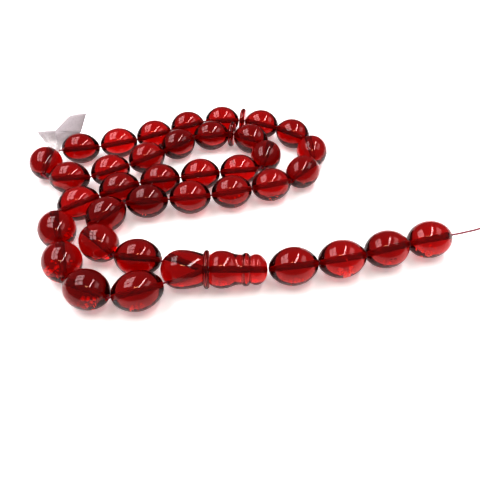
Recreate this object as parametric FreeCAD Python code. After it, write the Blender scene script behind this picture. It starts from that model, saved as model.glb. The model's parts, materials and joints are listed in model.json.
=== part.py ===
import FreeCAD, Part
import math
import os

# A misbaha: a string of 33 prayer beads with a disc after every eleventh bead, closed by an
# imame (base, collar and leader), and a tail of four more beads on the thread beyond it.
# Millimetres, +Z up. The string lies flat on a table at z = 0, and the origin is the middle
# of its footprint. Everything strung sits on a run of the thread, all at one height.

V = FreeCAD.Vector

# ---- strung pieces -------------------------------------------------------------------
BEAD_DIAMETER = 14.0
BEAD_LENGTH = 17.0
LONG_BEAD_LENGTH = 17.6            # the few largest beads, next to the imame
BEAD_END_RADIUS = 5.4              # roundness of a bead's two ends
BORE_RADIUS = 0.75
MOUTH_RADIUS = 1.1                 # the bore's mouth, where its edge is eased
MOUTH_DEPTH = 0.35
DISC_THICKNESS = 2.4
DISC_RADIUS = 6.0
DISC_FACE_RADIUS = 4.7             # where the flat face turns into the rounded rim
THREAD_RADIUS = 0.35
AXIS_HEIGHT = BEAD_DIAMETER / 2
END_PLAY = 0.2                     # least space between a bead's end and its neighbour's
BARE_PLAY = 0.8                    # the same where the thread bends and runs on bare

# ---- the table position of the string ------------------------------------------------
# Each point of the loop starts a run of the thread; the word is what is strung on it.
ORIGIN = (0.424, 0.2)              # middle of the footprint in the layout's own numbers
LOOP = [
    (-18.0, -51.5, "long"), (-35.5, -57.5, "bead"), (-52.5, -50.0, "bead"),
    (-59.0, -33.0, "bead"), (-66.5, -15.5, "bead"), (-51.0, -4.5, "bead"),
    (-35.5, 4.0, "bead"), (-18.0, 7.5, "bead"), (-1.0, 11.5, "bead"), (17.5, 14.0, "bead"),
    (22.5, 33.5, "bead"), (5.5, 42.0, "disc"), (2.5, 42.5, "bead"), (-15.0, 39.5, "bead"),
    (-28.0, 27.5, "bead"), (-42.0, 17.0, "bead"), (-57.5, 8.0, "bead"), (-76.0, 6.5, "bare"),
    (-79.0, 9.5, "bead"), (-81.5, 27.5, "bare"), (-76.5, 28.5, "bead"),
    (-58.5, 31.5, "bead"), (-42.0, 37.5, "bead"), (-26.5, 45.5, "bead"),
    (-10.5, 54.5, "bead"), (8.0, 55.5, "disc"), (11.0, 55.0, "bead"), (27.0, 48.0, "bead"),
    (41.5, 37.0, "bead"), (42.0, 18.5, "bead"), (30.0, 5.0, "bead"), (13.0, 0.0, "bead"),
    (-4.0, -4.5, "bead"), (-21.5, -7.0, "bead"), (-39.5, -9.5, "bead"),
    (-52.5, -24.5, "bead"), (-38.0, -38.5, "bead"), (-20.0, -40.5, "end"),
]
TAIL = [
    (18.0, -45.0, "long"), (36.0, -42.0, "long"), (53.6, -38.0, "bead"),
    (70.5, -32.5, "bead"), (88.0, -28.0, "end"),
]
FREE_END = [
    (88.0, -28.0, 7.0), (92.0, -27.0, 6.9), (97.0, -24.3, 5.3), (102.0, -21.0, 2.9),
    (107.0, -17.5, 0.9), (112.5, -14.8, 0.45), (118.0, -13.5, 0.6),
]
BEND_REACH = 2.5                   # how far along each run a bend of the held thread starts
LEAST_STRAIGHT = 1e-6              # a shorter straight between two arcs is left out
FREE_REACH = 0.45                  # the same in the free end, as a part of its shorter run
PIVOT_GAP = 0.02                   # between the rounded ends of two tail threads

# ---- imame, measured along its axis from the tip of the base --------------------------
IMAME_TIP = (-20.0, -45.0)
BASE_RADIUS = 7.0
BASE_LENGTH = 15.2
BASE_FACE_RADIUS = 5.5
JUNCTION_AT = 14.6                 # where the two slanting bores of the base meet
COLLAR_AT = (15.35, 17.25)
COLLAR_FACE_RADIUS = 5.6
COLLAR_RADIUS = 6.95
LEADER_ARCS = [                    # (along, radius): start, middle and end of each arc
    ((17.4, 5.2), (19.1, 6.35), (21.6, 6.75)),
    ((21.6, 6.75), (23.6, 6.5), (25.4, 5.9)),
    ((25.4, 5.9), (27.0, 5.45), (28.8, 5.35)),
    ((28.8, 5.35), (30.1, 6.0), (31.4, 5.35)),
    ((31.4, 5.35), (31.75, 4.95), (32.1, 5.1)),
    ((32.1, 5.1), (33.6, 5.5), (35.2, 5.1)),
    ((35.2, 5.1), (37.0, 3.4), (37.6, MOUTH_RADIUS)),
]
TIE_RADIUS = 0.6                   # the knot that joins the loop's two ends to the tail

# ---- end knot and paper label ---------------------------------------------------------
KNOT_LENGTH = 3.0
KNOT_RADIUS = 1.0
STUB_LENGTH = 3.5
PAPER = 0.2
LABEL_ROWS = [                     # left and right corner of each row, near end to far end
    ((-86.5, 32.3, 14.5), (-78.3, 32.9, 14.8)), ((-81.5, 27.8, 9.0), (-77.6, 29.0, 9.3)),
    ((-80.1, 27.0, 7.0), (-77.2, 27.65, 7.0)), ((-80.0, 27.7, 6.15), (-77.2, 28.35, 6.15)),
    ((-80.1, 28.4, 7.0), (-77.2, 29.1, 7.0)), ((-81.0, 31.0, 9.3), (-77.0, 32.3, 9.5)),
    ((-80.0, 34.5, 13.0), (-70.5, 37.5, 13.0)), ((-73.5, 41.5, 17.0), (-65.3, 43.0, 17.5)),
]


def on_table(x, y, z=AXIS_HEIGHT):
    """A point of the layout, moved so that the origin is the middle of the footprint."""
    return V(x - ORIGIN[0], y - ORIGIN[1], z)


def heading(start, end):
    """Angle of a run in the table plane, in degrees."""
    return math.degrees(math.atan2(end[1] - start[1], end[0] - start[0]))


def turn_between(before, after):
    """Angle in degrees, without its sign, between two headings."""
    return abs((after - before + 180) % 360 - 180)


def turned(edges, name):
    """A solid of revolution about X from a closed outline of edges in the XY plane."""
    face = Part.Face(Part.Wire(Part.__sortEdges__(edges)))
    solid = face.revolve(V(0, 0, 0), V(1, 0, 0), 360)
    if solid.ShapeType != "Solid":
        solid = Part.Solid(solid.Shells[0])
    if not solid.isValid() or solid.Volume <= 0:
        raise ValueError(name + " did not close")
    return solid


def line(start, end):
    return Part.LineSegment(V(start[0], start[1], 0), V(end[0], end[1], 0)).toShape()


def arc(start, middle, end):
    points = [V(p[0], p[1], 0) for p in (start, middle, end)]
    return Part.Arc(*points).toShape()


def spline_arc(start, middle, end):
    """The same arc as a spline. When an arc's centre lies beyond the axis it is turned about,
    the solid's extents are found right only from the spline."""
    points = [V(p[0], p[1], 0) for p in (start, middle, end)]
    return Part.Arc(*points).toBSpline().toShape()


def bore_edges(left, right):
    """The bore's wall between two mouths, with both eased edges."""
    wall_left = (left + MOUTH_DEPTH, BORE_RADIUS)
    wall_right = (right - MOUTH_DEPTH, BORE_RADIUS)
    return [line((left, MOUTH_RADIUS), wall_left), line(wall_left, wall_right),
            line(wall_right, (right, MOUTH_RADIUS))]


def bead(length):
    """An olive bead: round ends joined by a gentler arc over the middle."""
    half = length / 2
    belly = BEAD_DIAMETER / 2
    end_centre = half - math.sqrt(BEAD_END_RADIUS ** 2 - MOUTH_RADIUS ** 2)
    side_radius = ((end_centre ** 2 + belly ** 2 - BEAD_END_RADIUS ** 2)
                   / (2 * (belly - BEAD_END_RADIUS)))
    side_centre = belly - side_radius
    angle = math.atan2(-side_centre, end_centre)
    join = (end_centre + BEAD_END_RADIUS * math.cos(angle), BEAD_END_RADIUS * math.sin(angle))
    middle_angle = (angle + math.asin(MOUTH_RADIUS / BEAD_END_RADIUS)) / 2
    on_end = (end_centre + BEAD_END_RADIUS * math.cos(middle_angle),
              BEAD_END_RADIUS * math.sin(middle_angle))
    edges = bore_edges(-half, half)
    edges.append(arc((half, MOUTH_RADIUS), on_end, join))
    edges.append(spline_arc(join, (0, belly), (-join[0], join[1])))
    edges.append(arc((-join[0], join[1]), (-on_end[0], on_end[1]), (-half, MOUTH_RADIUS)))
    return turned(edges, "bead")


def disc():
    """A thin flat-faced washer with a rounded rim."""
    half = DISC_THICKNESS / 2
    edges = bore_edges(-half, half)
    edges.append(line((half, MOUTH_RADIUS), (half, DISC_FACE_RADIUS)))
    edges.append(arc((half, DISC_FACE_RADIUS), (0, DISC_RADIUS), (-half, DISC_FACE_RADIUS)))
    edges.append(line((-half, DISC_FACE_RADIUS), (-half, MOUTH_RADIUS)))
    return turned(edges, "disc")


def on_run(shape, start, end, along):
    """Puts a shape made about X on the run from start to end, its middle at a distance."""
    placed = shape.copy()
    placed.rotate(V(0, 0, 0), V(0, 0, 1), heading(start, end))
    direction = (on_table(*end[:2]) - on_table(*start[:2])).normalize()
    placed.translate(on_table(*start[:2]) + direction * along)
    return placed


def end_space(turn):
    """Space that a bead's end needs on a bend, so that its neighbour's end clears it."""
    return END_PLAY + BEAD_END_RADIUS * (1 / math.cos(math.radians(turn) / 2) - 1)


def length_of(kind):
    return {"bead": BEAD_LENGTH, "long": LONG_BEAD_LENGTH, "disc": DISC_THICKNESS}[kind]


def places(points):
    """For each strung piece: its run's two ends, and how far along the run its middle is."""
    headings = [heading(a, b) for a, b in zip(points, points[1:])]
    turns = [0] + [turn_between(a, b) for a, b in zip(headings, headings[1:])] + [0]
    found = []
    for i, (start, end) in enumerate(zip(points, points[1:])):
        kind = start[2]
        if kind == "bare":
            continue
        before, after = end_space(turns[i]), end_space(turns[i + 1])
        if i and points[i - 1][2] in ("bare", "disc"):
            before = END_PLAY
        if end[2] == "bare":
            after = BARE_PLAY
        if end[2] == "disc" or kind == "disc":
            after = END_PLAY
        if kind == "disc":
            before = END_PLAY
        spare = math.dist(start[:2], end[:2]) - length_of(kind) - before - after
        if spare < 0:
            print("short run", start, round(spare, 2))
        found.append((kind, start, end, before + spare / 2 + length_of(kind) / 2))
    return found


def rounded_path(points, reach):
    """Straight runs joined by tangent arcs. reach(shorter run) is how far an arc extends."""
    edges, radii, cursor = [], [], points[0]
    for before, corner, after in zip(points, points[1:], points[2:]):
        incoming, outgoing = (corner - before), (after - corner)
        half_turn = incoming.getAngle(outgoing) / 2
        tangent = reach(min(incoming.Length, outgoing.Length))
        incoming.normalize()
        outgoing.normalize()
        first, last = corner - incoming * tangent, corner + outgoing * tangent
        radius = tangent / math.tan(half_turn)
        inward = (outgoing - incoming).normalize()
        middle = corner + inward * (radius / math.cos(half_turn) - radius)
        if (first - cursor).Length > LEAST_STRAIGHT:
            edges.append(Part.LineSegment(cursor, first).toShape())
        edges.append(Part.Arc(first, middle, last).toShape())
        radii.append(radius)
        cursor = last
    edges.append(Part.LineSegment(cursor, points[-1]).toShape())
    return Part.Wire(edges), radii


def tube(path, name):
    """A round solid along a path, its volume compared with section times length."""
    start = path.Edges[0]
    tangent = start.tangentAt(start.FirstParameter)
    section = Part.Wire(Part.makeCircle(THREAD_RADIUS, path.Vertexes[0].Point, tangent))
    solid = path.makePipeShell([section], True, False)
    if solid.ShapeType != "Solid":
        solid = Part.Solid(solid)
    expected = math.pi * THREAD_RADIUS ** 2 * path.Length
    print(name, "length", round(path.Length, 1), "volume ratio", round(solid.Volume / expected, 4))
    return solid


def held_reach(shorter):
    return min(BEND_REACH, FREE_REACH * shorter)


def free_reach(shorter):
    return FREE_REACH * shorter


def junction():
    return on_table(IMAME_TIP[0] + JUNCTION_AT, IMAME_TIP[1])


def loop_thread():
    """The thread through the whole loop, its two ends tied together inside the imame."""
    points = [junction()] + [on_table(x, y) for x, y, _ in LOOP] + [junction()]
    path, radii = rounded_path(points, held_reach)
    print("loop thread radii", [round(r, 1) for r in radii])
    half = len(points) // 2
    first, _ = rounded_path(points[:half] + [midpoint(points, half)], held_reach)
    second, _ = rounded_path([midpoint(points, half)] + points[half:], held_reach)
    tie = Part.makeSphere(TIE_RADIUS, junction())
    joined = tube(first, "loop thread, first half").fuse(
        [tube(second, "loop thread, second half"), tie])
    return joined.removeSplitter().Solids[0]


def leader_thread():
    """The thread from the tie through the leader, rounded where the tail turns on its end."""
    pivot = on_table(*TAIL[0][:2])
    start = junction() + V(TIE_RADIUS + PIVOT_GAP, 0, 0)
    length = pivot.x - start.x - THREAD_RADIUS - PIVOT_GAP / 2
    rod = Part.makeCylinder(THREAD_RADIUS, length, start, V(1, 0, 0))
    tip = Part.makeSphere(THREAD_RADIUS, start + V(length, 0, 0))
    return rod.fuse(tip).removeSplitter().Solids[0]


def midpoint(points, index):
    """The middle of the run that ends at points[index]."""
    return (points[index - 1] + points[index]) * 0.5


def tail_thread(start, end):
    """The straight thread inside one tail bead, its ends rounded at the pivots it turns on.

    The last one is cut square at the bead's far side, where the free end starts."""
    direction = (on_table(*end[:2]) - on_table(*start[:2]))
    inset = THREAD_RADIUS + PIVOT_GAP / 2
    is_last = end[2] == "end"
    length = direction.Length - (inset if is_last else 2 * inset)
    direction.normalize()
    base = on_table(*start[:2]) + direction * inset
    rounded = [Part.makeSphere(THREAD_RADIUS, base)]
    if not is_last:
        rounded.append(Part.makeSphere(THREAD_RADIUS, base + direction * length))
    rod = Part.makeCylinder(THREAD_RADIUS, length, base, direction)
    return rod.fuse(rounded).removeSplitter().Solids[0]


def free_thread():
    path, radii = rounded_path([on_table(*p) for p in FREE_END], free_reach)
    print("free end radii", [round(r, 1) for r in radii])
    return tube(path, "free end")


def end_knot():
    """The stopper knot at the thread's end: a small rounded barrel with a short stub."""
    last, before = on_table(*FREE_END[-1]), on_table(*FREE_END[-2])
    direction = V(last.x - before.x, last.y - before.y, 0).normalize()
    centre = V(last.x, last.y, KNOT_RADIUS) + direction * (KNOT_LENGTH / 2)
    ball = Part.makeSphere(1, V(0, 0, 0))
    stretch = FreeCAD.Matrix()
    stretch.scale(KNOT_LENGTH / 2, KNOT_RADIUS, KNOT_RADIUS)
    barrel = ball.transformGeometry(stretch)
    barrel.rotate(V(0, 0, 0), V(0, 0, 1), math.degrees(math.atan2(direction.y, direction.x)))
    barrel.translate(centre)
    stub = Part.makeCylinder(THREAD_RADIUS, KNOT_LENGTH / 2 + STUB_LENGTH, centre, direction)
    return barrel.fuse(stub).removeSplitter().Solids[0]


def imame_base():
    """The egg-shaped base, with a slanting bore for each end of the loop."""
    side_radius = (((BASE_LENGTH - BASE_RADIUS) ** 2 + (BASE_RADIUS - BASE_FACE_RADIUS) ** 2)
                   / (2 * (BASE_RADIUS - BASE_FACE_RADIUS)))
    half = (BASE_LENGTH + BASE_RADIUS) / 2
    rise = math.sqrt(side_radius ** 2 - (half - BASE_RADIUS) ** 2) - side_radius
    half_way = BASE_RADIUS * math.cos(math.pi / 4)
    edges = [line((0, 0), (BASE_LENGTH, 0)), line((BASE_LENGTH, 0), (BASE_LENGTH, BASE_FACE_RADIUS)),
             arc((BASE_LENGTH, BASE_FACE_RADIUS), (half, BASE_RADIUS + rise), (BASE_RADIUS, BASE_RADIUS)),
             arc((BASE_RADIUS, BASE_RADIUS), (BASE_RADIUS - half_way, half_way), (0, 0))]
    body = turned(edges, "imame base")
    body.translate(on_table(*IMAME_TIP))
    start = junction()
    tools = [Part.makeSphere(BORE_RADIUS, start),
             Part.makeCylinder(BORE_RADIUS, BASE_LENGTH, start, V(1, 0, 0))]
    for x, y, _ in (LOOP[0], LOOP[-1]):
        reach = on_table(x, y) - start
        tools.append(Part.makeCylinder(BORE_RADIUS, reach.Length + BASE_LENGTH, start, reach))
    return body.cut(tools).Solids[0]


def imame_collar():
    """The raised ring between base and leader."""
    left, right = COLLAR_AT
    middle = (left + right) / 2
    edges = bore_edges(left, right)
    edges.append(line((right, MOUTH_RADIUS), (right, COLLAR_FACE_RADIUS)))
    edges.append(arc((right, COLLAR_FACE_RADIUS), (middle, COLLAR_RADIUS), (left, COLLAR_FACE_RADIUS)))
    edges.append(line((left, COLLAR_FACE_RADIUS), (left, MOUTH_RADIUS)))
    ring = turned(edges, "imame collar")
    ring.translate(on_table(*IMAME_TIP))
    return ring


def imame_leader():
    """The vase-shaped leader, with its own ring and end bulb turned in one piece."""
    first, last = LEADER_ARCS[0][0], LEADER_ARCS[-1][-1]
    edges = bore_edges(first[0], last[0])
    edges.append(line((first[0], MOUTH_RADIUS), first))
    edges += [arc(*points) for points in LEADER_ARCS]
    leader = turned(edges, "imame leader")
    leader.translate(on_table(*IMAME_TIP))
    return leader


def label_side(offset):
    """The corners of one face of the paper: its rows, each moved off its middle surface."""
    rows = [[on_table(*corner) for corner in row] for row in LABEL_ROWS]
    last = len(rows) - 1
    moved = []
    for i, (left, right) in enumerate(rows):
        ahead, behind = rows[min(i + 1, last)], rows[max(i - 1, 0)]
        normal = (right - left).cross(ahead[0] + ahead[1] - behind[0] - behind[1]).normalize()
        moved.append((left + normal * offset, right + normal * offset))
    return moved


def paper_label():
    """A folded paper strip, pinched under the bare thread, its two ends rising apart."""
    front, back = label_side(PAPER / 2), label_side(-PAPER / 2)
    quads = [(front[0][0], front[0][1], back[0][1], back[0][0]),
             (front[-1][0], front[-1][1], back[-1][1], back[-1][0])]
    for i in range(len(front) - 1):
        quads += [(front[i][0], front[i][1], front[i + 1][1], front[i + 1][0]),
                  (back[i][0], back[i][1], back[i + 1][1], back[i + 1][0]),
                  (front[i][0], back[i][0], back[i + 1][0], front[i + 1][0]),
                  (front[i][1], back[i][1], back[i + 1][1], front[i + 1][1])]
    faces = []
    for a, b, c, d in quads:
        faces += [Part.Face(Part.makePolygon([a, b, c, a])), Part.Face(Part.makePolygon([a, c, d, a]))]
    solid = Part.Solid(Part.Shell(faces))
    if solid.Volume < 0:
        solid.reverse()
    return solid


def build():
    """Every piece by the name of its node."""
    parts = {}
    beads = discs = 0
    for kind, start, end, along in places(LOOP):
        if kind == "disc":
            discs += 1
            parts["divider_disc_%d" % discs] = on_run(disc(), start, end, along)
        else:
            beads += 1
            parts["bead_%02d" % beads] = on_run(bead(length_of(kind)), start, end, along)
    for number, (kind, start, end, along) in enumerate(places(TAIL), 1):
        parts["tail_bead_%d" % number] = on_run(bead(length_of(kind)), start, end, along)
        parts["tail_thread_%d" % number] = tail_thread(start, end)
    parts["imame_base"] = imame_base()
    parts["imame_collar"] = imame_collar()
    parts["imame_leader"] = imame_leader()
    parts["loop_thread"] = loop_thread()
    parts["leader_thread"] = leader_thread()
    parts["free_thread"] = free_thread()
    parts["end_knot"] = end_knot()
    parts["paper_label"] = paper_label()
    return parts


def main():
    os.makedirs("parts", exist_ok=True)
    parts = build()
    for name, shape in sorted(parts.items()):
        print(name, shape.ShapeType, shape.isValid(), round(shape.Volume, 2))
        shape.exportStep("parts/%s.step" % name)
    strung = Part.makeCompound([s for n, s in parts.items() if n not in ("free_thread", "end_knot")])
    print("footprint", strung.optimalBoundingBox())


main()
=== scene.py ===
"""Looks of a misbaha: clear red resin beads, imame, crimson thread, stopper knot and a paper label."""

import json
import math
import random

import bmesh
import bpy
import numpy as np
from mathutils import Matrix, Vector, noise


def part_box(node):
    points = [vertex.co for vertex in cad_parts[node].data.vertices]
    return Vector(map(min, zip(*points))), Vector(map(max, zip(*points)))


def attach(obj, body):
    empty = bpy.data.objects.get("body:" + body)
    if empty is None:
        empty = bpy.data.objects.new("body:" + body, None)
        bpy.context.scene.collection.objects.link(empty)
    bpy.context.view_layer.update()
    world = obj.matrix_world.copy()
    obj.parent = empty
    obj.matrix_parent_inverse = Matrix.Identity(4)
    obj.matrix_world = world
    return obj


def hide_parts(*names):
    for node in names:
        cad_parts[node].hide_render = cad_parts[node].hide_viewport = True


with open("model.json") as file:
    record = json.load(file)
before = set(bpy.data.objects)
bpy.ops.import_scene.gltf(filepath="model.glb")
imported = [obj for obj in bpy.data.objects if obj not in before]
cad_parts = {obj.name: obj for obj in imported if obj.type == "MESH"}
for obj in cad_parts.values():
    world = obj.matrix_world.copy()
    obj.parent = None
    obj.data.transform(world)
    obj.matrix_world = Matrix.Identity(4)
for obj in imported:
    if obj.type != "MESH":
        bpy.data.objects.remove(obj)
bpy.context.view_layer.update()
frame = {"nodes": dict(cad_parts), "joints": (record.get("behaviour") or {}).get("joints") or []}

MM = 0.001
SPINS = {j["child"]: j for j in frame["joints"] if j["name"].endswith("_spin")}
BENDS = [j for j in frame["joints"] if j["name"].startswith("tail_bend")]

# ---- turned outlines, in mm, as in the part's own design --------------------------------
BEAD_END_RADIUS = 5.4
BORE_RADIUS = 0.75
MOUTH_RADIUS = 1.1
MOUTH_DEPTH = 0.35
DISC_FACE = 4.7                    # where a disc's flat face turns into its rounded rim
COLLAR_FACE = 5.6
BASE_RADIUS = 7.0
BASE_LENGTH = 15.2
BASE_FACE = 5.5
JUNCTION_AT = 14.6                 # where the base's two slanting bores meet, from its tip
LEADER_ARCS = [                    # (along, radius): start, middle and end of each arc
    ((17.4, 5.2), (19.1, 6.35), (21.6, 6.75)),
    ((21.6, 6.75), (23.6, 6.5), (25.4, 5.9)),
    ((25.4, 5.9), (27.0, 5.45), (28.8, 5.35)),
    ((28.8, 5.35), (30.1, 6.0), (31.4, 5.35)),
    ((31.4, 5.35), (31.75, 4.95), (32.1, 5.1)),
    ((32.1, 5.1), (33.6, 5.5), (35.2, 5.1)),
    ((35.2, 5.1), (37.0, 3.4), (37.6, MOUTH_RADIUS)),
]
LATHE_SIDES = 96
ARC_STEPS = 10
BORE_STEPS = 12
WAVINESS = 0.035                   # how far polishing leaves the surface from its true outline
WAVE_LENGTH = 6.0

# ---- thread, in mm ----------------------------------------------------------------------
THREAD_DIAMETER = 0.7
PLIES = 3
LAY_LENGTH = 1.9                   # one full turn of a ply
STEPS_PER_TURN = 10
PLY_SIDES = 7
FREE_END = [
    (87.576, -28.2, 7.0), (91.576, -27.2, 6.9), (96.576, -24.5, 5.3), (101.576, -21.2, 2.9),
    (106.576, -17.7, 0.9), (112.076, -15.0, 0.45), (117.576, -13.7, 0.6),
]
BARE_POINTS = {                    # corners of the bare thread after a bead
    "bead_16": [(-76.424, 6.3), (-79.424, 9.3)], "bead_17": [(-81.924, 27.3), (-76.924, 28.3)],
}
AXIS_HEIGHT = 7.0                  # of everything strung
JUNCTION = (-5.824, -45.2, AXIS_HEIGHT)
IMAME_TIP_Y = -45.2
HINGE_GAP = 0.2                    # from a tail hinge to the thread of either link
STEM_GAP = 0.3

# ---- stopper knot, in mm ----------------------------------------------------------------
KNOT_STEPS = 48
KNOT_SIZE = (1.15, 0.62, 0.4)      # half length, half width and half height of its route
KNOT_THREAD = 0.62
KNOT_CENTRE = (1.5, 1.0)           # past the thread's end, and above the table
STUB = [(0, 0), (1.6, -0.1), (3.2, -0.55), (4.95, -0.6)]    # past and above the knot's centre

# ---- paper label, in mm: left and right corner of each row, near end to far end ---------
LABEL_ROWS = [
    ((-86.924, 32.1, 14.5), (-78.724, 32.7, 14.8)), ((-81.924, 27.6, 9.0), (-78.024, 28.8, 9.3)),
    ((-80.524, 26.8, 7.0), (-77.624, 27.45, 7.0)), ((-80.424, 27.5, 6.15), (-77.624, 28.15, 6.15)),
    ((-80.524, 28.2, 7.0), (-77.624, 28.9, 7.0)), ((-81.424, 30.8, 9.3), (-76.024, 33.0, 9.6)),
    ((-80.424, 34.3, 13.0), (-68.524, 36.6, 11.4)), ((-73.924, 41.3, 17.0), (-65.724, 42.8, 17.5)),
]
PAPER = 0.16
LABEL_ACROSS = 14                  # squares of the paper's grid from side to side
CRUMPLE = (1.5, 0.35)              # of the near wing and the far wing
CURL = (0.9, 0.8)                  # of the far wing: its middle and its right side

# ---- inclusions: bead, number of flakes, place off the bead's centre in mm, spread ---------
SPANGLES = [
    ("bead_02", 16, (2.2, -2.6, -2.2), 1.2), ("bead_03", 18, (-0.6, -2.4, -2.0), 1.5),
    ("tail_bead_2", 20, (0.8, -2.6, -2.4), 1.4), ("tail_bead_4", 22, (-1.2, -2.8, -2.4), 1.6),
    ("bead_01", 6, (-0.6, -3.0, -3.2), 1.2), ("bead_04", 7, (2.4, -1.4, -2.6), 1.3),
    ("bead_27", 8, (0.6, -2.6, -3.0), 1.2), ("bead_28", 6, (0.8, -2.6, -3.0), 1.4),
    ("bead_30", 6, (-0.4, -2.4, -3.2), 1.4), ("bead_20", 6, (1.0, -2.4, -2.8), 1.2),
    ("tail_bead_1", 5, (0.4, -3.0, -2.6), 1.6),
]
FLAKE_REACH = (1.9, 5.0)           # least distance off the bore and greatest off the centre
FLAKE_SIZES = (0.25, 0.75)
FLAKE_SIDES = 9
FLAKE_THICKNESS = 0.07             # of its size, to each side
SPECKS = {                          # place off the bead's centre and the three half sizes, in mm
    "bead_33": [((1.6, -0.8, 4.6), (0.18, 0.3, 0.14))],
    "bead_08": [((-3.4, 0.4, 4.4), (0.22, 0.16, 0.14))],
    "bead_09": [((-2.4, -0.6, 4.6), (0.16, 0.6, 0.12))],
    "tail_bead_3": [((1.4, -4.6, 0.6), (0.5, 0.14, 0.1)), ((0.2, -4.4, 0.2), (0.4, 0.12, 0.1))],
    "tail_bead_4": [((5.0, -0.6, 2.8), (0.3, 0.5, 0.2)), ((5.6, -1.6, 1.0), (0.2, 0.4, 0.3)),
                    ((4.0, -1.8, 2.6), (0.16, 0.3, 0.2))],
}


# ---- camera -----------------------------------------------------------------------------
def make_camera():
    data = bpy.data.cameras.new("camera")
    data.lens = 31.97
    data.clip_start = 0.005
    camera = bpy.data.objects.new("camera", data)
    camera.location = (0.00758, -0.1422, 0.1223)
    camera.rotation_euler = (math.radians(44.03), 0, 0)
    bpy.context.scene.collection.objects.link(camera)
    bpy.context.scene.camera = camera


# ---- nodes and materials ----------------------------------------------------------------
def new_material(name):
    """A material with its Principled shader and output found."""
    material = bpy.data.materials.new(name)
    material.use_nodes = True
    nodes = material.node_tree.nodes
    shader = next(n for n in nodes if n.type == "BSDF_PRINCIPLED")
    output = next(n for n in nodes if n.type == "OUTPUT_MATERIAL")
    return material, nodes, material.node_tree.links, shader, output


def resin(name, density):
    """Clear polished resin: the colour comes from the depth of resin that light crosses."""
    material, nodes, links, shader, output = new_material(name)
    shader.inputs["Base Color"].default_value = (1, 0.4, 0.36, 1)
    shader.inputs["Roughness"].default_value = 0.012
    shader.inputs["IOR"].default_value = 1.54
    shader.inputs["Specular IOR Level"].default_value = 0.26
    shader.inputs["Transmission Weight"].default_value = 1.0
    absorb = nodes.new("ShaderNodeVolumeAbsorption")
    absorb.inputs["Color"].default_value = (0.82, 0.005, 0.012, 1)
    absorb.inputs["Density"].default_value = density
    links.new(absorb.outputs[0], output.inputs["Volume"])
    return material


def bore_material():
    """The drilled, unpolished wall of a bore, dull and dark, with faint drilling rings."""
    material, nodes, links, shader, output = new_material("bore_wall")
    place = nodes.new("ShaderNodeTexCoord")
    grain = nodes.new("ShaderNodeTexNoise")
    grain.inputs["Scale"].default_value = 900
    ramp = nodes.new("ShaderNodeValToRGB")
    ramp.color_ramp.elements[0].color = (0.4, 0.004, 0.01, 1)
    ramp.color_ramp.elements[1].color = (0.85, 0.012, 0.024, 1)
    links.new(place.outputs["Object"], grain.inputs["Vector"])
    links.new(grain.outputs["Fac"], ramp.inputs["Fac"])
    links.new(ramp.outputs["Color"], shader.inputs["Base Color"])
    shader.inputs["Roughness"].default_value = 0.6
    return material


def spangle_material():
    """The faces of small stress cracks inside the resin, partly metallic, with a painted orange-red glow
    for their glints.
    """
    material, nodes, links, shader, output = new_material("spangle")
    place = nodes.new("ShaderNodeTexCoord")
    grain = nodes.new("ShaderNodeTexNoise")
    grain.inputs["Scale"].default_value = 1500
    ramp = nodes.new("ShaderNodeValToRGB")
    ramp.color_ramp.elements[0].color = (1, 0.12, 0.02, 1)
    ramp.color_ramp.elements[1].color = (1, 0.5, 0.25, 1)
    links.new(place.outputs["Object"], grain.inputs["Vector"])
    links.new(grain.outputs["Fac"], ramp.inputs["Fac"])
    links.new(ramp.outputs["Color"], shader.inputs["Base Color"])
    shader.inputs["Metallic"].default_value = 0.4
    shader.inputs["Roughness"].default_value = 0.3
    # Painted glint: the flakes glow orange-red though they are no lamp
    shader.inputs["Emission Color"].default_value = (1, 0.1, 0.02, 1)
    shader.inputs["Emission Strength"].default_value = 0.7
    return material


def speck_material():
    material, nodes, links, shader, output = new_material("speck")
    grain = nodes.new("ShaderNodeTexNoise")
    grain.inputs["Scale"].default_value = 4000
    ramp = nodes.new("ShaderNodeValToRGB")
    ramp.color_ramp.elements[0].color = (0.004, 0.002, 0.002, 1)
    ramp.color_ramp.elements[1].color = (0.03, 0.01, 0.006, 1)
    links.new(grain.outputs["Fac"], ramp.inputs["Fac"])
    links.new(ramp.outputs["Color"], shader.inputs["Base Color"])
    shader.inputs["Roughness"].default_value = 0.8
    return material


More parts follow.
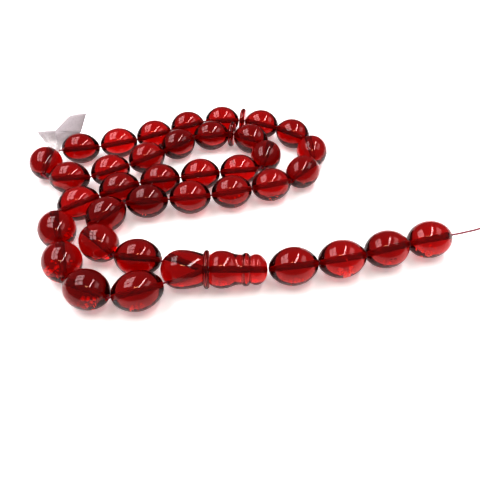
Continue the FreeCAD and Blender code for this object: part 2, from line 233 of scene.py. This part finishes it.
def paper_material():
    """Matt white paper: faint fibres, slight mottling, a soft bump, a painted shade that makes the far wing
    greyer, and a faint painted glow.
    """
    material, nodes, links, shader, output = new_material("paper_white")
    place = nodes.new("ShaderNodeTexCoord")
    fibres = nodes.new("ShaderNodeTexNoise")
    fibres.inputs["Scale"].default_value = 1400
    fibres.inputs["Detail"].default_value = 6
    ramp = nodes.new("ShaderNodeValToRGB")
    ramp.color_ramp.elements[0].color = (0.86, 0.84, 0.85, 1)
    ramp.color_ramp.elements[1].color = (0.97, 0.96, 0.96, 1)
    ramp.color_ramp.elements[0].position = 0.3
    ramp.color_ramp.elements[1].position = 0.62
    bump = nodes.new("ShaderNodeBump")
    bump.inputs["Strength"].default_value = 0.35
    bump.inputs["Distance"].default_value = 0.00005
    links.new(place.outputs["Object"], fibres.inputs["Vector"])
    links.new(fibres.outputs["Fac"], ramp.inputs["Fac"])
    # Painted shade: from y 28.5 mm to 32 mm the paper's colour is multiplied greyer, standing in for the
    # far wing turned away from the light
    split = nodes.new("ShaderNodeSeparateXYZ")
    wing = nodes.new("ShaderNodeMapRange")
    wing.inputs["From Min"].default_value = 0.0285
    wing.inputs["From Max"].default_value = 0.032
    shade = nodes.new("ShaderNodeMix")    # its colour sockets are inputs 6 and 7, output 2
    shade.data_type = "RGBA"
    shade.blend_type = "MULTIPLY"
    shade.inputs[7].default_value = (0.5, 0.46, 0.48, 1)
    links.new(place.outputs["Object"], split.inputs["Vector"])
    links.new(split.outputs["Y"], wing.inputs["Value"])
    links.new(wing.outputs["Result"], shade.inputs[0])
    links.new(ramp.outputs["Color"], shade.inputs[6])
    links.new(shade.outputs[2], shader.inputs["Base Color"])
    links.new(fibres.outputs["Fac"], bump.inputs["Height"])
    links.new(bump.outputs["Normal"], shader.inputs["Normal"])
    shader.inputs["Roughness"].default_value = 0.85
    # Painted light: a faint white glow lightens both wings of the paper, which is no lamp
    shader.inputs["Emission Color"].default_value = (1, 0.97, 0.98, 1)
    shader.inputs["Emission Strength"].default_value = 0.14
    return material


def thread_material():
    material, nodes, links, shader, output = new_material("thread_crimson")
    place = nodes.new("ShaderNodeTexCoord")
    fibres = nodes.new("ShaderNodeTexNoise")
    fibres.inputs["Scale"].default_value = 2600
    fibres.inputs["Detail"].default_value = 4
    ramp = nodes.new("ShaderNodeValToRGB")
    ramp.color_ramp.elements[0].color = (0.16, 0.004, 0.02, 1)
    ramp.color_ramp.elements[1].color = (0.5, 0.02, 0.07, 1)
    ramp.color_ramp.elements[0].position = 0.3
    ramp.color_ramp.elements[1].position = 0.7
    bump = nodes.new("ShaderNodeBump")
    bump.inputs["Strength"].default_value = 0.5
    bump.inputs["Distance"].default_value = 0.00004
    links.new(place.outputs["Object"], fibres.inputs["Vector"])
    links.new(fibres.outputs["Fac"], ramp.inputs["Fac"])
    links.new(ramp.outputs["Color"], shader.inputs["Base Color"])
    links.new(fibres.outputs["Fac"], bump.inputs["Height"])
    links.new(bump.outputs["Normal"], shader.inputs["Normal"])
    shader.inputs["Roughness"].default_value = 0.55
    shader.inputs["Sheen Weight"].default_value = 0.4
    return material


# ---- mesh helpers -----------------------------------------------------------------------
def mesh_object(name, points, faces, material, weld=0):
    """A smooth closed mesh object with its material."""
    mesh = bpy.data.meshes.new(name)
    mesh.from_pydata([tuple(p) for p in points], [], faces)
    shape = bmesh.new()
    shape.from_mesh(mesh)
    if weld:
        bmesh.ops.remove_doubles(shape, verts=shape.verts, dist=weld)
    bmesh.ops.recalc_face_normals(shape, faces=shape.faces)
    shape.to_mesh(mesh)
    shape.free()
    mesh.polygons.foreach_set("use_smooth", [True] * len(mesh.polygons))
    mesh.materials.append(material)
    made = bpy.data.objects.new(name, mesh)
    bpy.context.scene.collection.objects.link(made)
    return made


def arc(start, middle, end, steps=ARC_STEPS):
    """Points of the arc through three points, without its last point."""
    (ax, ay), (bx, by), (cx, cy) = start, middle, end
    d = 2 * (ax * (by - cy) + bx * (cy - ay) + cx * (ay - by))
    a2, b2, c2 = ax * ax + ay * ay, bx * bx + by * by, cx * cx + cy * cy
    ux = (a2 * (by - cy) + b2 * (cy - ay) + c2 * (ay - by)) / d
    uy = (a2 * (cx - bx) + b2 * (ax - cx) + c2 * (bx - ax)) / d
    radius = math.hypot(ax - ux, ay - uy)
    first, mid, last = (math.atan2(p[1] - uy, p[0] - ux) for p in (start, middle, end))
    turn = (last - first) % math.tau
    if (mid - first) % math.tau > turn:
        turn -= math.tau
    angles = [first + turn * i / steps for i in range(steps)]
    return [(ux + radius * math.cos(angle), uy + radius * math.sin(angle)) for angle in angles]


def run(start, end, steps):
    """Evenly spaced points of a straight line, without its last point."""
    return [(start[0] + (end[0] - start[0]) * i / steps, start[1] + (end[1] - start[1]) * i / steps)
            for i in range(steps)]


def bore(left, right):
    """The bore's wall from its right mouth to its left one, with eased edges."""
    wall_right, wall_left = (right - MOUTH_DEPTH, BORE_RADIUS), (left + MOUTH_DEPTH, BORE_RADIUS)
    return (run((right, MOUTH_RADIUS), wall_right, 3) + run(wall_right, wall_left, BORE_STEPS)
            + run(wall_left, (left, MOUTH_RADIUS), 3))


def bead_outline(half, belly):
    """Round ends joined by a gentler arc over the middle, then back through the bore."""
    end_centre = half - math.sqrt(BEAD_END_RADIUS ** 2 - MOUTH_RADIUS ** 2)
    side_radius = ((end_centre ** 2 + belly ** 2 - BEAD_END_RADIUS ** 2)
                   / (2 * (belly - BEAD_END_RADIUS)))
    angle = math.atan2(side_radius - belly, end_centre)
    join = (end_centre + BEAD_END_RADIUS * math.cos(angle), BEAD_END_RADIUS * math.sin(angle))
    middle = (angle + math.asin(MOUTH_RADIUS / BEAD_END_RADIUS)) / 2
    on_end = (end_centre + BEAD_END_RADIUS * math.cos(middle), BEAD_END_RADIUS * math.sin(middle))
    return (arc((-half, MOUTH_RADIUS), (-on_end[0], on_end[1]), (-join[0], join[1]), 14)
            + arc((-join[0], join[1]), (0, belly), join, 24)
            + arc(join, on_end, (half, MOUTH_RADIUS), 14) + bore(-half, half))


def ring_outline(left, right, face, rim):
    """A flat-faced ring with a rounded rim."""
    middle = (left + right) / 2
    return (run((left, MOUTH_RADIUS), (left, face), 6) + arc((left, face), (middle, rim), (right, face), 16)
            + run((right, face), (right, MOUTH_RADIUS), 6) + bore(left, right))


def leader_outline():
    points = run((LEADER_ARCS[0][0][0], MOUTH_RADIUS), LEADER_ARCS[0][0], 5)
    for three in LEADER_ARCS:
        points += arc(*three)
    return points + bore(LEADER_ARCS[0][0][0], LEADER_ARCS[-1][-1][0])


def lathe(name, outline, material, seed=0.0, closed=True):
    """A solid of revolution about X from an outline of (along, radius) in mm, slightly wavy.

    A closed outline runs back through the bore, whose faces get the bore's material."""
    count = len(outline)
    points, faces = [], []
    last = count if closed else count - 1
    for side in range(LATHE_SIDES):
        angle = math.tau * side / LATHE_SIDES
        for x, r in outline:
            spot = Vector((x, r * math.cos(angle), r * math.sin(angle)))
            if r > MOUTH_RADIUS:
                swell = noise.noise(spot / WAVE_LENGTH + Vector((seed, 2.7 * seed, 0)))
                spot.yz *= 1 + WAVINESS * swell / r
            points.append(spot * MM)
        here, there = side * count, (side + 1) % LATHE_SIDES * count
        faces += [(here + i, here + (i + 1) % count, there + (i + 1) % count, there + i)
                  for i in range(last)]
    made = mesh_object(name, points, faces, material, 0 if closed else 1e-7)
    if closed:
        made.data.materials.append(materials["bore"])
        inside = (MOUTH_RADIUS + 0.02) * MM
        for face in made.data.polygons:
            rim = [made.data.vertices[v].co for v in face.vertices]
            if all(math.hypot(p.y, p.z) < inside for p in rim):
                face.material_index = 1
    return made


def put_on_axis(made, centre, axis):
    """Turns a lathed piece's X axis to the axis and moves it to the centre."""
    turn = Vector(axis).to_track_quat("X", "Z").to_matrix().to_4x4()
    made.matrix_world = Matrix.Translation(centre) @ turn


def node_sizes(name, centre, axis):
    """Half length along the axis and largest radius of a CAD node, in mm."""
    co = np.array([v.co for v in frame["nodes"][name].data.vertices]) - np.array(centre)
    along = co @ np.array(axis)
    radial = np.linalg.norm(co - np.outer(along, np.array(axis)), axis=1)
    return np.abs(along).max() / MM, radial.max() / MM


def seat(name):
    """Centre and unit axis of a strung piece, from its own joint."""
    joint = SPINS[name]
    return Vector(joint["pos_m"]), Vector(joint["axis"]).normalized()


# ---- thread -----------------------------------------------------------------------------
def spline_points(name, points, resolution=12):
    """Points along one smooth NURBS line with the given control points."""
    data = bpy.data.curves.new(name, "CURVE")
    data.dimensions = "3D"
    data.resolution_u = resolution
    spline = data.splines.new("NURBS")
    spline.points.add(len(points) - 1)
    for spot, p in zip(spline.points, points):
        spot.co = (*p, 1)
    spline.order_u = 3
    spline.use_endpoint_u = True
    holder = bpy.data.objects.new(name, data)
    bpy.context.scene.collection.objects.link(holder)
    bpy.context.view_layer.update()
    mesh = bpy.data.meshes.new_from_object(holder)
    found = [v.co.copy() for v in mesh.vertices]
    bpy.data.objects.remove(holder)
    bpy.data.meshes.remove(mesh)
    bpy.data.curves.remove(data)
    return found


def evenly(points, step):
    """The same line with evenly spaced points."""
    co = np.array([tuple(p) for p in points])
    gone = np.concatenate([[0], np.cumsum(np.linalg.norm(np.diff(co, axis=0), axis=1))])
    count = max(2, int(round(gone[-1] / step)) + 1)
    at = np.linspace(0, gone[-1], count)
    return np.stack([np.interp(at, gone, co[:, k]) for k in range(3)], axis=1), at


def frames_along(co):
    """Two unit vectors across the line at each point, carried along without twisting."""
    tangents = np.gradient(co, axis=0)
    tangents /= np.linalg.norm(tangents, axis=1)[:, None]
    side = np.cross(tangents[0], (0.3, 0.1, 0.9))
    side /= np.linalg.norm(side)
    firsts, seconds = [], []
    for tangent in tangents:
        side = side - tangent * side.dot(tangent)
        side /= np.linalg.norm(side)
        firsts.append(side)
        seconds.append(np.cross(tangent, side))
    return np.array(firsts), np.array(seconds)


def tube_mesh(co, radius, sides, points, faces):
    """Adds a closed round tube along co to the lists."""
    firsts, seconds = frames_along(co)
    base = len(points)
    for centre, a, b, r in zip(co, firsts, seconds, np.broadcast_to(radius, len(co))):
        for k in range(sides):
            angle = math.tau * k / sides
            points.append(tuple(centre + r * (a * math.cos(angle) + b * math.sin(angle))))
    for i in range(len(co) - 1):
        here, there = base + i * sides, base + (i + 1) * sides
        faces += [(here + k, here + (k + 1) % sides, there + (k + 1) % sides, there + k)
                  for k in range(sides)]
    faces.append(tuple(base + k for k in range(sides)))
    faces.append(tuple(base + (len(co) - 1) * sides + k for k in range(sides)))


def plied(name, line, diameter=THREAD_DIAMETER):
    """A thread of twisted plies along a line of points in metres."""
    ply = diameter / 2 * 0.48 * MM
    off = diameter / 2 * MM - ply
    co, at = evenly(line, LAY_LENGTH * MM / STEPS_PER_TURN)
    firsts, seconds = frames_along(co)
    points, faces = [], []
    for k in range(PLIES):
        angle = math.tau * (at / (LAY_LENGTH * MM) + k / PLIES)
        strand = co + off * (firsts * np.cos(angle)[:, None] + seconds * np.sin(angle)[:, None])
        tube_mesh(strand, ply, PLY_SIDES, points, faces)
    return mesh_object(name, points, faces, materials["thread"])


def free_thread():
    route = [Vector(p) * MM for p in FREE_END]
    line = spline_points("free_route", route, 16)
    made = plied("free_thread_plied", line)
    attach(made, "tail_link_4")
    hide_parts("free_thread")
    return made, line, route


def free_knot(route):
    """An overhand stopper knot with a short stub."""
    last, before = route[-1], route[-2]
    forward = Vector((last.x - before.x, last.y - before.y, 0)).normalized()
    sideways = Vector((-forward.y, forward.x, 0))
    past, height = KNOT_CENTRE
    centre = Vector((last.x, last.y, height * MM)) + forward * past * MM
    points = []
    for i in range(KNOT_STEPS + 1):
        t = math.tau * i / KNOT_STEPS
        x = (math.sin(t) + 2 * math.sin(2 * t)) / 3 * KNOT_SIZE[0]
        y = (math.cos(t) - 2 * math.cos(2 * t)) / 3 * KNOT_SIZE[1]
        z = -math.sin(3 * t) * KNOT_SIZE[2]
        points.append(centre + (forward * x + sideways * y + Vector((0, 0, z))) * MM)
    made = plied("end_knot_tied", points, KNOT_THREAD)
    stub = [centre + (forward * s + Vector((0, 0, h))) * MM for s, h in STUB]
    tail = plied("end_knot_stub", spline_points("stub_route", stub))
    for piece in (made, tail):
        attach(piece, "tail_link_4")
    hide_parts("end_knot")
    return made, tail


def loop_thread():
    """The thread through the whole loop, mouth to mouth, from the imame and back."""
    junction = Vector(JUNCTION) * MM
    order = []
    for i in range(1, 34):
        order.append("bead_%02d" % i)
        if i in (11, 22):
            order.append("divider_disc_%d" % (i // 11))
    route = [junction]
    for name in order:
        centre, axis = seat(name)
        half = node_sizes(name, centre, axis)[0] * MM
        route += [centre - axis * half, centre + axis * half]
        route += [Vector((x, y, AXIS_HEIGHT)) * MM for x, y in BARE_POINTS.get(name, [])]
    route.append(junction)
    made = plied("loop_thread_plied", spline_points("loop_route", route, 8))
    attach(made, "string")
    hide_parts("loop_thread")
    pivot = Vector(BENDS[0]["pos_m"])
    stem = plied("leader_thread_plied", [junction, pivot - Vector((STEM_GAP * MM, 0, 0))])
    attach(stem, "string")
    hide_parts("leader_thread")


def tail_threads():
    ends = [Vector(j["pos_m"]) for j in BENDS] + [Vector(FREE_END[0]) * MM]
    for i in range(4):
        along = (ends[i + 1] - ends[i]).normalized()
        inset = along * HINGE_GAP * MM
        made = plied("tail_thread_%d_plied" % (i + 1), [ends[i] + inset, ends[i + 1] - inset])
        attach(made, "tail_link_%d" % (i + 1))
        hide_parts("tail_thread_%d" % (i + 1))


# ---- resin ------------------------------------------------------------------------------
def resin_pieces():
    draw = random.Random(33)
    names = sorted(n for n in SPINS if "bead" in n)
    for name in names:
        centre, axis = seat(name)
        half, belly = node_sizes(name, centre, axis)
        shade = draw.choice(("resin", "resin", "resin_deep", "resin_light"))
        made = lathe(name + "_turned", bead_outline(half, belly), materials[shade], draw.random() * 90)
        put_on_axis(made, centre, axis)
        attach(made, name)
        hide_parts(name)
    for name in ("divider_disc_1", "divider_disc_2"):
        centre, axis = seat(name)
        half, rim = node_sizes(name, centre, axis)
        made = lathe(name + "_turned", ring_outline(-half, half, DISC_FACE, rim), materials["resin"])
        put_on_axis(made, centre, axis)
        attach(made, name)
        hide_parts(name)
    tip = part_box("imame_base")[0].x
    start = Vector((tip, IMAME_TIP_Y * MM, AXIS_HEIGHT * MM))
    low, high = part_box("imame_collar")
    left, right = (low.x - tip) / MM, (high.x - tip) / MM
    rim = (high.z - low.z) / 2 / MM
    for name, outline in (("imame_collar", ring_outline(left, right, COLLAR_FACE, rim)),
                          ("imame_leader", leader_outline())):
        made = lathe(name + "_turned", outline, materials["resin"])
        put_on_axis(made, start, (1, 0, 0))
        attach(made, name)
        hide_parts(name)
    imame_base(start, start + Vector((JUNCTION_AT * MM, 0, 0)))


# ---- imame base --------------------------------------------------------------------------
def cutter(name, start, end, radius):
    points, faces = [], []
    co = np.array([tuple(start), tuple((start + end) / 2), tuple(end)])
    tube_mesh(co, radius * MM, 40, points, faces)
    return mesh_object(name, points, faces, materials["bore"])


def imame_base(tip, junction):
    """The egg-shaped base with a slanting bore for each end of the loop."""
    half_way = BASE_RADIUS * math.cos(math.pi / 4)
    side = (((BASE_LENGTH - BASE_RADIUS) ** 2 + (BASE_RADIUS - BASE_FACE) ** 2)
            / (2 * (BASE_RADIUS - BASE_FACE)))
    middle = (BASE_LENGTH + BASE_RADIUS) / 2
    rise = math.sqrt(side ** 2 - (middle - BASE_RADIUS) ** 2) - side
    outline = (arc((0, 0), (BASE_RADIUS - half_way, half_way), (BASE_RADIUS, BASE_RADIUS), 26)
               + arc((BASE_RADIUS, BASE_RADIUS), (middle, BASE_RADIUS + rise), (BASE_LENGTH, BASE_FACE), 18)
               + run((BASE_LENGTH, BASE_FACE), (BASE_LENGTH, 0), 6) + [(BASE_LENGTH, 0)])
    made = lathe("imame_base_turned", outline, materials["resin"], 40.0, closed=False)
    made.location = tip
    mouths = [seat("bead_01"), seat("bead_33")]
    half = node_sizes("bead_01", *mouths[0])[0] * MM
    ends = [mouths[0][0] - mouths[0][1] * half, mouths[1][0] + mouths[1][1] * half]
    aims = [junction + (end - junction) * 1.6 for end in ends] + [junction + Vector((4 * MM, 0, 0))]
    for number, aim in enumerate(aims):
        tool = cutter("bore_tool", junction - (aim - junction).normalized() * 0.3 * MM, aim, BORE_RADIUS)
        cut = made.modifiers.new("bore_%d" % number, "BOOLEAN")
        cut.operation = "DIFFERENCE"
        cut.solver = "EXACT"
        cut.material_mode = "TRANSFER"
        cut.object = tool
        graph = bpy.context.evaluated_depsgraph_get()
        carved = bpy.data.meshes.new_from_object(made.evaluated_get(graph))
        made.modifiers.clear()
        made.data = carved
        bpy.data.objects.remove(tool)
    made.data.set_sharp_from_angle(angle=math.radians(40))
    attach(made, "string")
    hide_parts("imame_base")


# ---- things inside the resin ---------------------------------------------------------------
def flake(points, faces, centre, normal, across, size, draw):
    """A thin irregular lens: a crack's two faces, closed at its edge."""
    up = normal.cross(across).normalized()
    base, sides = len(points), FLAKE_SIDES
    reach = [size * draw.uniform(0.65, 1.1) for _ in range(sides)]
    for k, r in enumerate(reach):
        angle = math.tau * k / sides
        points.append(centre + (across * math.cos(angle) + up * math.sin(angle)) * r)
    points.append(centre + normal * size * FLAKE_THICKNESS)
    points.append(centre - normal * size * FLAKE_THICKNESS)
    for k in range(sides):
        following = (k + 1) % sides
        faces.append((base + k, base + following, base + sides))
        faces.append((base + following, base + k, base + sides + 1))


def spangles(name, count, place, spread, draw):
    """A cluster of small flakes inside one bead, at a place off its centre in mm."""
    centre, axis = seat(name)
    nearest, furthest = FLAKE_REACH
    points, faces = [], []
    for _ in range(count):
        offset = Vector(place) + Vector([draw.gauss(0, spread) for _ in range(3)])
        if offset.length > furthest:
            offset *= furthest / offset.length
        away = offset - axis * offset.dot(axis)
        if away.length < nearest:
            offset += away.normalized() * (nearest - away.length)
        normal = Vector([draw.gauss(0, 1) for _ in range(3)]).normalized()
        across = normal.orthogonal().normalized()
        flake(points, faces, centre + offset * MM, normal, across,
              draw.uniform(*FLAKE_SIZES) * MM, draw)
    made = mesh_object(name + "_spangles", points, faces, materials["spangle"])
    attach(made, name)


def specks(name, places):
    """Small dark inclusions at places off a bead's centre in mm, each with its own size."""
    centre, axis = seat(name)
    points, faces = [], []
    for place, size in places:
        ball = bmesh.new()
        bmesh.ops.create_icosphere(ball, subdivisions=2, radius=1)
        base = len(points)
        for v in ball.verts:
            lump = 1 + 0.45 * noise.noise(v.co * 1.7 + Vector((base, 0, 0)))
            stretched = Vector((v.co.x * size[0], v.co.y * size[1], v.co.z * size[2])) * lump
            points.append(centre + (Vector(place) + stretched) * MM)
        faces += [tuple(base + v.index for v in f.verts) for f in ball.faces]
        ball.free()
    made = mesh_object(name + "_specks", points, faces, materials["speck"])
    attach(made, name)


# ---- paper label ---------------------------------------------------------------------------
def label_grid():
    """The paper's middle surface: a smooth grid through the rows' corners, curled and crumpled.

    The last row but one counts twice, which holds the far wing's width up to its corners."""
    held = LABEL_ROWS[:-1] + LABEL_ROWS[-2:]
    left = spline_points("label_left", [Vector(row[0]) * MM for row in held], 12)
    right = spline_points("label_right", [Vector(row[1]) * MM for row in held], 12)
    rows = []
    fold = min(range(len(left)), key=lambda i: left[i].z)
    for i, (a, b) in enumerate(zip(left, right)):
        near, far = max(0, fold - i) / fold, max(0, i - fold) / (len(left) - 1 - fold)
        following, before = left[min(i + 1, len(left) - 1)], left[max(i - 1, 0)]
        normal = (b - a).cross(following - before).normalized()
        row = []
        for k in range(LABEL_ACROSS + 1):
            u = k / LABEL_ACROSS
            spot = a.lerp(b, u)
            crease = (noise.noise(Vector((u * 2.6, i * 0.11, 3.1)))
                      + 0.5 * noise.noise(Vector((u * 6, i * 0.3, 8))))
            curl = (math.sin(math.pi * u) * CURL[0] + u * u * CURL[1]) * far
            row.append(spot + normal * (crease * (CRUMPLE[0] * near + CRUMPLE[1] * far) + curl) * MM)
        rows.append(row)
    return rows


def sheet_solid(rows, thickness):
    """A closed thin solid on both sides of a grid of points."""
    high, wide = len(rows), len(rows[0])
    grid = np.array([[tuple(p) for p in row] for row in rows])
    down, over = np.gradient(grid, axis=0), np.gradient(grid, axis=1)
    normal = np.cross(over, down)
    normal /= np.linalg.norm(normal, axis=2)[:, :, None]
    both = [grid + normal * thickness / 2, grid - normal * thickness / 2]
    points = [tuple(p) for side in both for row in side for p in row]
    faces, lower = [], high * wide
    for i in range(high - 1):
        for k in range(wide - 1):
            quad = (i * wide + k, i * wide + k + 1, (i + 1) * wide + k + 1, (i + 1) * wide + k)
            faces += [quad, tuple(lower + q for q in reversed(quad))]
    rim = ([(0, k) for k in range(wide)] + [(i, wide - 1) for i in range(1, high)]
           + [(high - 1, k) for k in range(wide - 2, -1, -1)] + [(i, 0) for i in range(high - 2, 0, -1)])
    ring = [i * wide + k for i, k in rim]
    for a, b in zip(ring, ring[1:] + ring[:1]):
        faces.append((a, b, lower + b, lower + a))
    return points, faces


def paper_label():
    points, faces = sheet_solid(label_grid(), PAPER * MM)
    made = mesh_object("paper_label_folded", points, faces, materials["paper"])
    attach(made, "string")
    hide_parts("paper_label")


# ---- room -------------------------------------------------------------------------------
def area_light(name, place, size, radiance, colour=(1, 1, 1), turn=0):
    """A rectangular light that faces down. Its strength is its own brightness."""
    data = bpy.data.lights.new(name, "AREA")
    data.shape = "RECTANGLE"
    data.size, data.size_y = size
    data.energy = radiance * size[0] * size[1] * math.pi
    data.color = colour
    lamp = bpy.data.objects.new(name, data)
    lamp.location = place
    lamp.rotation_euler = (0, 0, math.radians(turn))
    bpy.context.scene.collection.objects.link(lamp)


def studio():
    world = bpy.data.worlds.new("studio")
    bpy.context.scene.world = world
    world.use_nodes = True
    sky = world.node_tree.nodes["Background"]
    sky.inputs["Color"].default_value = (0.9, 0.9, 0.95, 1)
    sky.inputs["Strength"].default_value = 0.22
    floor_mesh = bpy.data.meshes.new("floor")
    reach = 12.0
    corners = [(-reach, -reach, 0), (reach, -reach, 0), (reach, reach, 0), (-reach, reach, 0)]
    floor_mesh.from_pydata(corners, [], [(0, 1, 2, 3)])
    material, nodes, links, shader, output = new_material("floor_white")
    shader.inputs["Base Color"].default_value = (0.92, 0.92, 0.92, 1)
    shader.inputs["Roughness"].default_value = 0.7
    shader.inputs["Emission Color"].default_value = (1, 1, 1, 1)
    shader.inputs["Emission Strength"].default_value = 0.4
    floor_mesh.materials.append(material)
    floor = bpy.data.objects.new("floor", floor_mesh)
    bpy.context.scene.collection.objects.link(floor)
    height = 0.38
    for row in range(3):
        for column in range(2):
            place = (-0.32 + 0.145 * column, -0.06 + 0.16 * row, height)
            area_light("pane_%d_%d" % (row, column), place, (0.125, 0.14), 6, (1, 0.93, 0.95))
    area_light("strip", (0.13, 0.04, height), (0.04, 0.46), 15, turn=-14)
    area_light("right_panel", (0.36, 0.06, height), (0.2, 0.36), 2.6, (1, 0.95, 0.96), turn=-12)
    area_light("warm", (-0.01, -0.165, height), (0.075, 0.03), 16, (1, 0.72, 0.38))
    area_light("left_spot", (-0.25, -0.115, height), (0.06, 0.018), 16, (1, 0.97, 0.92))


make_camera()
materials = {
    "resin": resin("resin_cherry", 420),
    "resin_deep": resin("resin_deep", 500),
    "resin_light": resin("resin_light", 350),
    "bore": bore_material(),
    "spangle": spangle_material(),
    "speck": speck_material(),
    "thread": thread_material(),
    "paper": paper_material(),
}
free, free_line, free_route = free_thread()
knot, stub = free_knot(free_route)
loop_thread()
tail_threads()
resin_pieces()
draw = random.Random(99)
for bead, amount, place, spread in SPANGLES:
    spangles(bead, amount, place, spread, draw)
for bead, places in SPECKS.items():
    specks(bead, places)
paper_label()
studio()

scene = bpy.context.scene
scene.view_settings.view_transform = "Standard"
scene.view_settings.gamma = 0.75
